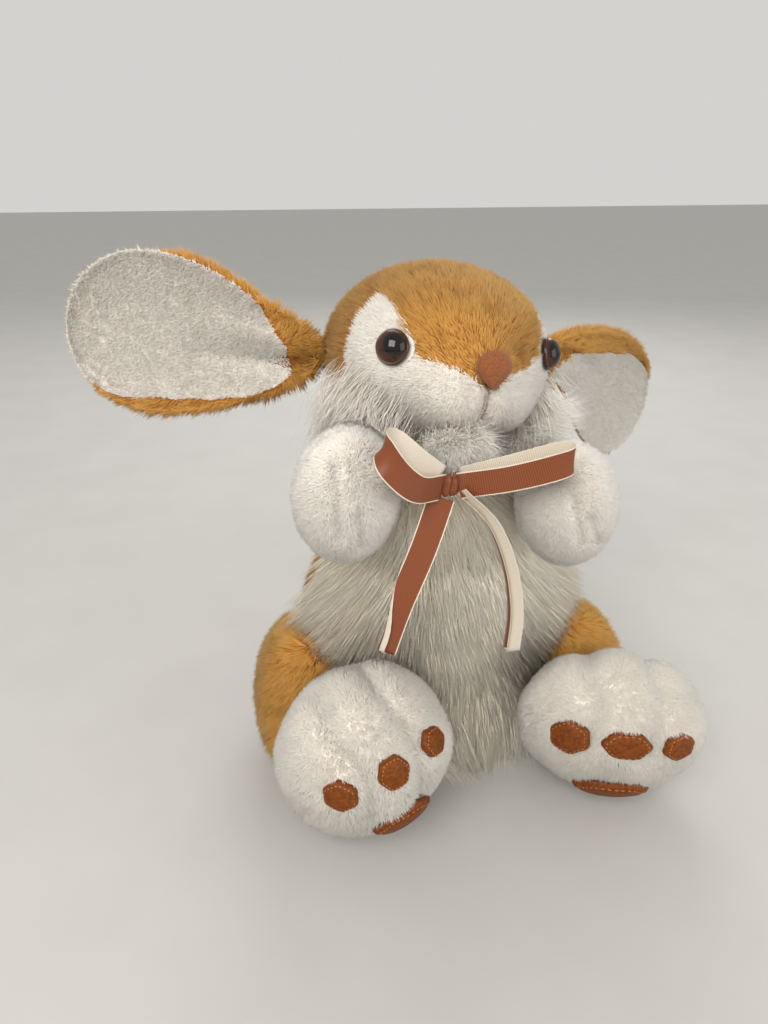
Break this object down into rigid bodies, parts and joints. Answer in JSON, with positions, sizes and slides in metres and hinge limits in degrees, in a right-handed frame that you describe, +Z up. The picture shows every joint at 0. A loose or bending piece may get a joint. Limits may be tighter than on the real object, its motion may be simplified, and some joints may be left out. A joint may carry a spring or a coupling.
{
  "type": "seated plush bunny",
  "caption": "Seated stuffed bunny with floppy ears, mitten paws, big padded feet, a shaggy cream belly and a satin bow; head, ears, arms and legs flex at their seams.",
  "frame": {"origin": "middle of the flat seat that the bunny sits on", "axes": "+Z up, the bunny faces -Y, its own left side is at +X"},
  "size_m": [0.3292, 0.1952, 0.2769],
  "materials": {
    "tan_plush": "brushed medium pile",
    "white_plush": "short dense sherpa pile",
    "long_cream_fur": "long shaggy pile",
    "stuffing": "loose polyester fibre",
    "pellet_bag_cloth": "plain woven bag",
    "satin_ribbon": "satin face with a cream edge and reverse",
    "leatherette": "fine-grained leatherette, stitched round",
    "nose_suede": "flocked suede",
    "mouth_thread": "twisted thread",
    "eye_plastic": "polished",
    "washer_plastic": "plain"
  },
  "bodies": {
    "root": {"torso_back_cover": "tan_plush", "belly_panel": "long_cream_fur", "torso_stuffing": "stuffing", "seat_pellet_bag": "pellet_bag_cloth", "tail": "white_plush", "neck_ribbon": "satin_ribbon", "bow_knot": "satin_ribbon", "bow_loop_right": "satin_ribbon", "bow_loop_left": "satin_ribbon", "bow_tail_right": "satin_ribbon", "bow_tail_left": "satin_ribbon"},
    "head": {"head_crown_cover": "tan_plush", "face_cover_right": "white_plush", "face_cover_left": "white_plush", "head_stuffing": "stuffing", "nose_patch": "nose_suede", "mouth_stitch": "mouth_thread", "chin_tuft": "long_cream_fur", "cheek_ruff_right": "long_cream_fur", "cheek_ruff_left": "long_cream_fur", "eye_right": "eye_plastic", "eye_left": "eye_plastic", "eye_washer_right": "washer_plastic", "eye_washer_left": "washer_plastic"},
    "ear_right": {"ear_right_back": "tan_plush", "ear_right_lining": "white_plush"},
    "ear_left": {"ear_left_back": "tan_plush", "ear_left_lining": "white_plush"},
    "arm_right": {"arm_right_front_cover": "white_plush", "arm_right_palm_cover": "white_plush", "arm_right_stuffing": "stuffing"},
    "arm_left": {"arm_left_front_cover": "white_plush", "arm_left_palm_cover": "white_plush", "arm_left_stuffing": "stuffing"},
    "leg_right": {"thigh_right_outer_cover": "tan_plush", "thigh_right_inner_cover": "tan_plush", "thigh_right_stuffing": "stuffing", "foot_right_sole_cover": "white_plush", "foot_right_upper_cover": "white_plush", "foot_right_stuffing": "stuffing", "toe_pad_right_1": "leatherette", "toe_pad_right_2": "leatherette", "toe_pad_right_3": "leatherette", "sole_pad_right": "leatherette"},
    "leg_left": {"thigh_left_outer_cover": "tan_plush", "thigh_left_inner_cover": "tan_plush", "thigh_left_stuffing": "stuffing", "foot_left_sole_cover": "white_plush", "foot_left_upper_cover": "white_plush", "foot_left_stuffing": "stuffing", "toe_pad_left_1": "leatherette", "toe_pad_left_2": "leatherette", "toe_pad_left_3": "leatherette", "sole_pad_left": "leatherette"}
  },
  "joints": [
    {"name": "head_turn", "type": "hinge", "parent": "root", "child": "head", "pos_m": [0, 0.004, 0.175], "axis": [0, 0, 1], "range_deg": [-15, 15], "stiffness_Nm_per_rad": 0.25},
    {"name": "ear_right_flop", "type": "hinge", "parent": "head", "child": "ear_right", "pos_m": [-0.064, 0.006, 0.22], "axis": [0, 1, 0], "range_deg": [-12, 18], "stiffness_Nm_per_rad": 0.12},
    {"name": "ear_left_flop", "type": "hinge", "parent": "head", "child": "ear_left", "pos_m": [0.06, 0.008, 0.222], "axis": [-0.454, 0.891, 0], "range_deg": [-15, 10], "stiffness_Nm_per_rad": 0.12},
    {"name": "arm_right_swing", "type": "hinge", "parent": "root", "child": "arm_right", "pos_m": [-0.052, -0.044, 0.196], "axis": [0, 1, 0], "range_deg": [-5, 25], "stiffness_Nm_per_rad": 0.12},
    {"name": "arm_left_swing", "type": "hinge", "parent": "root", "child": "arm_left", "pos_m": [0.044, -0.044, 0.182], "axis": [0, 1, 0], "range_deg": [-25, 5], "stiffness_Nm_per_rad": 0.12},
    {"name": "leg_right_splay", "type": "hinge", "parent": "root", "child": "leg_right", "pos_m": [-0.074, 0.022, 0.042], "axis": [0, 0, 1], "range_deg": [-20, 2], "stiffness_Nm_per_rad": 0.25},
    {"name": "leg_left_splay", "type": "hinge", "parent": "root", "child": "leg_left", "pos_m": [0.072, 0.022, 0.04], "axis": [0, 0, 1], "range_deg": [-2, 20], "stiffness_Nm_per_rad": 0.25}
  ]
}
